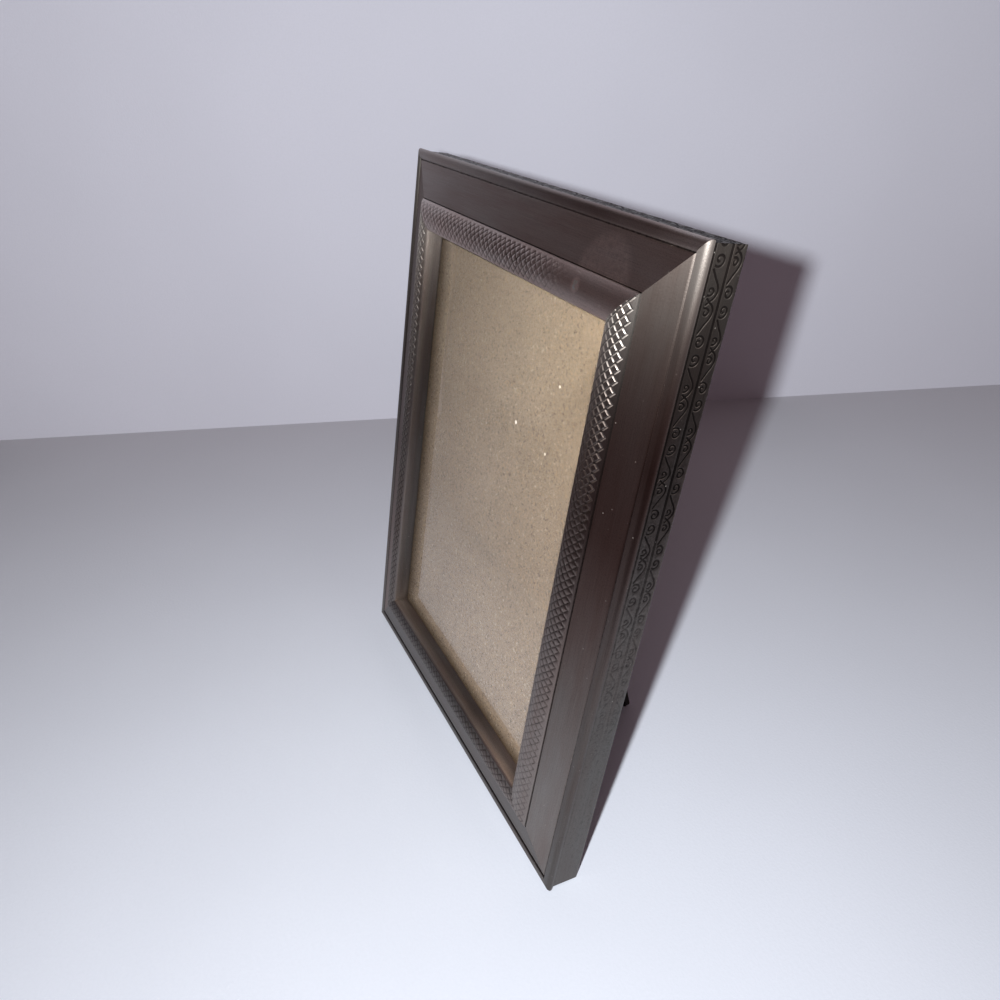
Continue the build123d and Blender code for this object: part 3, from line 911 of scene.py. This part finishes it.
def clothMesh(name, cad, seat):
    loops, near, far = outlineLoops(cad, seat)
    size = np.ptp(loops[0], axis=0)
    area = 0
    turned = []
    for k, loop in enumerate(loops):
        x, z = loop[:, 0], loop[:, 1]
        signed = (x * np.roll(z, -1) - np.roll(x, -1) * z).sum() / 2
        wanted = 1 if k == 0 else -1
        turned.append(loop if signed * wanted > 0 else loop[::-1])
        area += abs(signed) * wanted
    verts, edges, rings = [], [], []
    for loop in turned:
        inner = moveLoop(loop, -clothLook["edgeRound"])
        first = len(verts)
        verts += [tuple(p) for p in inner]
        edges += [(first + k, first + (k + 1) % len(inner)) for k in range(len(inner))]
        rings.append(range(first, first + len(inner)))
    low, high = loops[0].min(0), loops[0].max(0)
    step = clothLook["grid"]
    for x in np.arange(low[0] + step / 2, high[0], step):
        for z in np.arange(low[1] + step / 2, high[1], step):
            verts.append((x, z))
    made = geometry.delaunay_2d_cdt([Vector(v) for v in verts], edges, [], 0, 1e-4)
    points = np.array([tuple(v) for v in made[0]])
    shapes = [np.array([verts[k] for k in ring]) for ring in rings]
    faces = []
    for face in made[2]:
        middle = points[list(face)].mean(0)
        if insideLoop(middle, shapes[0]) and not any(insideLoop(middle, hole) for hole in shapes[1:]):
            faces.append(face)
    form = bmesh.new()
    used = sorted({k for face in faces for k in face})
    waveX, waveZ = clothLook["waves"]
    top, bottom = {}, {}
    for k in used:
        x, z = points[k]
        swell = clothLook["swell"] * math.sin(x * waveX) * math.sin(z * waveZ)
        top[k] = form.verts.new((x, far - clothLook["sink"] + swell, z))
        bottom[k] = form.verts.new((x, near, z))
    for face in faces:
        form.faces.new([top[k] for k in face])
        form.faces.new([bottom[k] for k in reversed(face)])
    found = {given: k for k, origins in enumerate(made[3]) for given in origins}
    for loop, ring in zip(turned, rings):
        keys = [found[given] for given in ring]
        shoulder = [form.verts.new((p[0], far - clothLook["edgeRound"], p[1])) for p in loop]
        foot = [form.verts.new((p[0], near, p[1])) for p in loop]
        for a in range(len(loop)):
            b = (a + 1) % len(loop)
            form.faces.new([top[keys[b]], top[keys[a]], shoulder[a], shoulder[b]])
            form.faces.new([shoulder[b], shoulder[a], foot[a], foot[b]])
            form.faces.new([foot[b], foot[a], bottom[keys[a]], bottom[keys[b]]])
    bmesh.ops.recalc_face_normals(form, faces=form.faces)
    mesh = bpy.data.meshes.new(name)
    form.to_mesh(mesh)
    form.free()
    layer = mesh.uv_layers.new(name="brushed").data
    for loopCorner in mesh.loops:
        co = mesh.vertices[loopCorner.vertex_index].co
        layer[loopCorner.index].uv = (co.x * mm, co.z * mm)
    mesh.transform(seat)
    smoothed(mesh, clothLook["sharpAngle"])
    print(" ", name, len(mesh.polygons), "faces, cloth", [round(float(v), 1) for v in size], "mm")
    return mesh, [float(v) * mm for v in size], float(area) * mm * mm


velvet = dict(
    pile=(0.014, 0.014, 0.016), brushedPile=(0.042, 0.042, 0.047), sheen=(0.6, 0.6, 0.65),
    brushing=((40, 15, 1), 3.0, 0.6), fibres=(4200.0, 2.0, 0.7),
    brushedShare=(0.45, 0.62), paleFibres=(0.45, 0.8, 0, 0.5),
    roughness=0.95, sheenWeight=0.8, sheenRoughness=0.4, shine=0.1, bumpStrength=0.5, bumpHeight=0.0002,
)


def clothFinish():
    material, tree, shader = newFinish("black_velvet", Roughness=velvet["roughness"])
    shader.inputs["Sheen Weight"].default_value = velvet["sheenWeight"]
    shader.inputs["Sheen Roughness"].default_value = velvet["sheenRoughness"]
    shader.inputs["Sheen Tint"].default_value = rgba(velvet["sheen"])
    shader.inputs["Specular IOR Level"].default_value = velvet["shine"]
    place = brushedPlace(tree)
    brushed = ramp(tree, stretchedNoise(tree, place, *velvet["brushing"]), *velvet["brushedShare"])
    fibre = noise(tree, place, *velvet["fibres"])
    colour = blendColour(tree, brushed, velvet["pile"], velvet["brushedPile"])
    colour = blendColour(tree, ramp(tree, fibre, *velvet["paleFibres"]), colour, velvet["brushedPile"])
    tree.links.new(colour, shader.inputs["Base Color"])
    addBump(tree, shader, fibre, velvet["bumpStrength"], velvet["bumpHeight"])
    return material


legSeat = upright @ Matrix.Translation((0, stance["hingeDepth"], stance["hingeHeight"]))
legSeat = legSeat @ Matrix.Rotation(math.radians(stance["spread"]), 4, "X")
clothFace = clothFinish()
cloths = dict(
    backboard_cloth=dict(seat=upright, body="frame", under="backboard"),
    easel_leg_cloth=dict(seat=legSeat, body="leg", under="easel_leg"),
)
for name, cloth in cloths.items():
    mesh, size, area = clothMesh(name + "_velvet", name, cloth["seat"])
    piece = addPiece(name + "_velvet", mesh, cloth["body"], clothFace, name)
print("cloths made")


# Finishes of the nodes that stay as they are
glass = dict(tint=(0.97, 0.985, 0.975), shadow=(0.95, 0.96, 0.95), index=1.5)


def glassFinish():
    material, tree, shader = newFinish("clear_pane", Roughness=0.0, IOR=glass["index"])
    shader.inputs["Transmission Weight"].default_value = 1.0
    shader.inputs["Base Color"].default_value = rgba(glass["tint"])
    shadow = node(tree, "LightPath").outputs["Is Shadow Ray"]
    clear = node(tree, "BsdfTransparent", {"Color": rgba(glass["shadow"])})
    mixed = node(tree, "MixShader", {0: shadow, 1: shader.outputs[0], 2: clear.outputs[0]})
    tree.links.new(mixed.outputs[0], tree.nodes["Material Output"].inputs[0])
    return material


board = dict(
    pulp=(0.262, 0.200, 0.152), pale=(0.35, 0.275, 0.215), dark=(0.075, 0.052, 0.036),
    fleck=(0.58, 0.52, 0.45), tan=(0.40, 0.285, 0.18), warmer=(0.82, 0.76, 0.66),
    edgeShade=(0.17, 0.12, 0.07), chip=(0.9, 0.88, 0.84), shine=0.2, bumpStrength=0.5, bumpHeight=0.00015,
    roughness=0.9, clouds=(45.0, 3.0, 0.6), fibres=(1200.0, 4.0, 0.85),
    raggedness=dict(Scale=1800.0, Detail=2.0), shake=0.0012, bits=1500.0,
    paleClouds=(0.35, 0.65, 0, 0.3), paleFibres=(0.5, 0.66, 0, 0.75), darkFibres=(0.5, 0.33, 0, 0.5),
    darkBits=(0.88, 0.93, 0, 0.6), tanBits=(0.84, 0.95, 0, 0.5), fleckBits=(0.96, 0.99, 0, 0.45),
    front=3.9, chips=[(12.9, 36.9, 0.8), (34.9, 57.7, 0.55), (33.3, 34.3, 0.6)], chipSoftness=0.3,
    # These run from one place on the board to another in mm, then from one share to another
    lowLight=(-85, -5, 1.56, 1.08), topLight=(20, 80, 0.0, 0.12),
    warmAcross=(0, 62, 0, 1), warmUp=(-70, 30, 0.3, 1),
    edgeShadeLeft=(-50, -60.5, 0, 0.9), edgeShadeFoot=(-79, -85.5, 0, 0.85),
)


# Bits of paper in three colours, each a cell of its own with a ragged outline
def boardBits(tree, place):
    ragged = node(tree, "TexNoise", {"Vector": place, **board["raggedness"]})
    reach = (board["shake"],) * 3
    away = node(tree, "VectorMath", {0: ragged.outputs["Color"], 1: reach}, operation="MULTIPLY")
    shaken = node(tree, "VectorMath", {0: place, 1: away.outputs[0]}, operation="ADD").outputs[0]
    bits = node(tree, "TexVoronoi", {"Vector": shaken, "Scale": board["bits"]}, feature="F1")
    return node(tree, "SeparateColor", {0: bits.outputs["Color"]}).outputs


def chipboardFinish():
    material, tree, shader = newFinish("speckled_chipboard", Roughness=board["roughness"])
    shader.inputs["Specular IOR Level"].default_value = board["shine"]
    place = objectPlace(tree)
    cloud = noise(tree, place, *board["clouds"])
    fibre = noise(tree, place, *board["fibres"])
    bits = boardBits(tree, place)
    colour = blendColour(tree, ramp(tree, cloud, *board["paleClouds"]), board["pulp"], board["pale"])
    colour = blendColour(tree, ramp(tree, fibre, *board["paleFibres"]), colour, board["pale"])
    colour = blendColour(tree, ramp(tree, fibre, *board["darkFibres"]), colour, board["dark"])
    colour = blendColour(tree, ramp(tree, bits[0], *board["darkBits"]), colour, board["dark"])
    colour = blendColour(tree, ramp(tree, bits[1], *board["tanBits"]), colour, board["tan"])
    colour = blendColour(tree, ramp(tree, bits[2], *board["fleckBits"]), colour, board["fleck"])
    for x, z, radius in board["chips"]:
        centre = upright @ Vector((x, board["front"], z))
        chip = spotMask(tree, place, centre, radius * mm, board["chipSoftness"])
        colour = blendColour(tree, chip, colour, board["chip"])

    # Painted light makes the board lighter low down and a little at the top; it is warmer up on the right,
    # and painted shade darkens it along its left and lower edges
    across, up = uprightCoordinate(tree, place, 0), uprightCoordinate(tree, place, 2)
    # Painted light: lighter low down and a little lighter at the top
    lit = sums(tree, "ADD", ramp(tree, up, *board["lowLight"]), ramp(tree, up, *board["topLight"]))
    colour = scaled(tree, colour, lit)
    right, upper = ramp(tree, across, *board["warmAcross"]), ramp(tree, up, *board["warmUp"])
    warmer = sums(tree, "MULTIPLY", right, upper)
    colour = blendColour(tree, warmer, colour, board["warmer"], "MULTIPLY")
    # Painted shade along the left and lower edges, beside the moulding
    left, foot = ramp(tree, across, *board["edgeShadeLeft"]), ramp(tree, up, *board["edgeShadeFoot"])
    edgeShaded = blendColour(tree, 1.0, colour, board["edgeShade"], "MULTIPLY")
    colour = blendColour(tree, sums(tree, "MAXIMUM", left, foot), colour, edgeShaded)
    tree.links.new(colour, shader.inputs["Base Color"])
    addBump(tree, shader, fibre, board["bumpStrength"], board["bumpHeight"])
    return material


card = dict(
    packing=dict(fibre=(0.42, 0.37, 0.3), paper=(0.5, 0.45, 0.38)),
    back=dict(fibre=(0.02, 0.02, 0.022), paper=(0.045, 0.042, 0.04)),
    clouds=(90.0, 4.0, 0.6), fibres=(1800.0, 3.0, 0.7), paperShare=(0.3, 0.7), fibreShare=(0.5, 0.75, 0, 0.4),
    roughness=0.88, shine=0.25, bumpStrength=0.3, bumpHeight=0.0001,
)


def cardFinish(name, fibre, paper):
    material, tree, shader = newFinish(name, Roughness=card["roughness"])
    shader.inputs["Specular IOR Level"].default_value = card["shine"]
    place = objectPlace(tree)
    cloud = noise(tree, place, *card["clouds"])
    fine = noise(tree, place, *card["fibres"])
    colour = blendColour(tree, ramp(tree, cloud, *card["paperShare"]), fibre, paper)
    colour = blendColour(tree, ramp(tree, fine, *card["fibreShare"]), colour, fibre)
    tree.links.new(colour, shader.inputs["Base Color"])
    addBump(tree, shader, fine, card["bumpStrength"], card["bumpHeight"])
    return material


plating = dict(
    nickel=dict(plate=(0.62, 0.6, 0.56), tarnish=(0.38, 0.35, 0.31), roughness=(0.23, 0.4)),
    rivet=dict(plate=(0.68, 0.66, 0.62), tarnish=(0.42, 0.4, 0.36), roughness=(0.19, 0.36)),
    key=dict(plate=(0.42, 0.41, 0.4), tarnish=(0.26, 0.24, 0.22), roughness=(0.35, 0.52)),
)
platingNoise = dict(
    clouds=(160.0, 4.0, 0.6), scratches=(2600.0, 3.0, 0.6), tarnished=(0.4, 0.72, 0, 0.7), rough=(0.3, 0.7),
)


def platedFinish(name, plate, tarnish, roughness):
    material, tree, shader = newFinish(name, Metallic=1.0)
    place = objectPlace(tree)
    cloud = noise(tree, place, *platingNoise["clouds"])
    fine = noise(tree, place, *platingNoise["scratches"])
    colour = blendColour(tree, ramp(tree, cloud, *platingNoise["tarnished"]), plate, tarnish)
    tree.links.new(colour, shader.inputs["Base Color"])
    tree.links.new(ramp(tree, fine, *platingNoise["rough"], *roughness), shader.inputs["Roughness"])
    return material


finishes = dict(
    glass_pane=glassFinish(),
    insert_board=chipboardFinish(),
    spacer_pad=cardFinish("packing_card_face", **card["packing"]),
    backboard=cardFinish("back_card_face", **card["back"]),
)
finishes["easel_leg"] = finishes["backboard"]
nickel = platedFinish("nickel_plate", **plating["nickel"])
rivetSteel = platedFinish("rivet_plate", **plating["rivet"])
keySteel = platedFinish("key_plate", **plating["key"])
for name in frame["nodes"]:
    if "rivets" in name:
        finishes[name] = rivetSteel
    elif name.startswith(("turn_button", "hinge_")):
        finishes[name] = nickel
    elif name.startswith("corner_key"):
        finishes[name] = keySteel
for name, finish in finishes.items():
    for place in bpy.data.objects[name].material_slots:
        place.material = finish
print("finishes set on", len(finishes), "nodes")


# Table and wall of the same pale paper. The wall stands back so that views from behind stay clear,
# and its near end slants so that the glass and the top moulding mirror the darker room beside it.
room = dict(
    wallAway=290.0, wallTurn=-26.0, wallFoot=-1.0, wallHeight=620.0, reach=3000.0,
    nearFoot=397.0, nearTop=146.0,  # how far the wall runs to the near side, at its foot and its top
)
paper = dict(
    table=(0.77, 0.83, 0.93), wall=(0.79, 0.83, 0.95), bounced=(0.30, 0.23, 0.24),
    fade=0.93, weave=(900.0, 2.0, 0.6), clouds=(7.0, 2.0, 0.5),
    fadedWeave=(0.4, 0.75, 0, 0.35), fadedClouds=(0.35, 0.65, 0, 0.5),
    roughness=0.85, shine=0.2, bumpStrength=0.15, bumpHeight=0.0004,
)


def paperFinish(name, colour):
    material, tree, shader = newFinish(name, Roughness=paper["roughness"])
    shader.inputs["Specular IOR Level"].default_value = paper["shine"]
    place = objectPlace(tree)
    weave = noise(tree, place, *paper["weave"])
    cloud = noise(tree, place, *paper["clouds"])
    faded = [paper["fade"] * part for part in colour]
    mixed = blendColour(tree, ramp(tree, weave, *paper["fadedWeave"]), colour, faded)
    mixed = blendColour(tree, ramp(tree, cloud, *paper["fadedClouds"]), mixed, faded)
    bounced = node(tree, "LightPath").outputs["Is Diffuse Ray"]  # keeps the cast shadow deep
    mixed = blendColour(tree, bounced, mixed, paper["bounced"])
    tree.links.new(mixed, shader.inputs["Base Color"])
    addBump(tree, shader, weave, paper["bumpStrength"], paper["bumpHeight"])
    return material


def stagePiece(name, corners, finish, turn):
    mesh = bpy.data.meshes.new(name)
    mesh.from_pydata(corners, [], [range(len(corners))])
    mesh.transform(turn)
    mesh.materials.append(finish)
    piece = bpy.data.objects.new(name, mesh)
    scene.collection.objects.link(piece)
    return piece


roomTurn = Matrix.Rotation(math.radians(room["wallTurn"]), 4, "Z") @ Matrix.Scale(mm, 4)
reach, back, foot, top = room["reach"], -room["wallAway"], room["wallFoot"], room["wallHeight"]
tableCorners = [(-reach, -reach, 0), (reach, -reach, 0), (reach, reach, 0), (-reach, reach, 0)]
table = stagePiece("table", tableCorners, paperFinish("table_paper", paper["table"]), roomTurn)
wallCorners = [
    (back, -room["nearFoot"], foot), (back, reach, foot), (back, reach, top), (back, -room["nearTop"], top),
]
wall = stagePiece("wall", wallCorners, paperFinish("wall_paper", paper["wall"]), roomTurn)
for piece in scene.objects:
    if piece.type == "MESH":
        litBy["room" if piece in (table, wall) else "frame"].objects.link(piece)
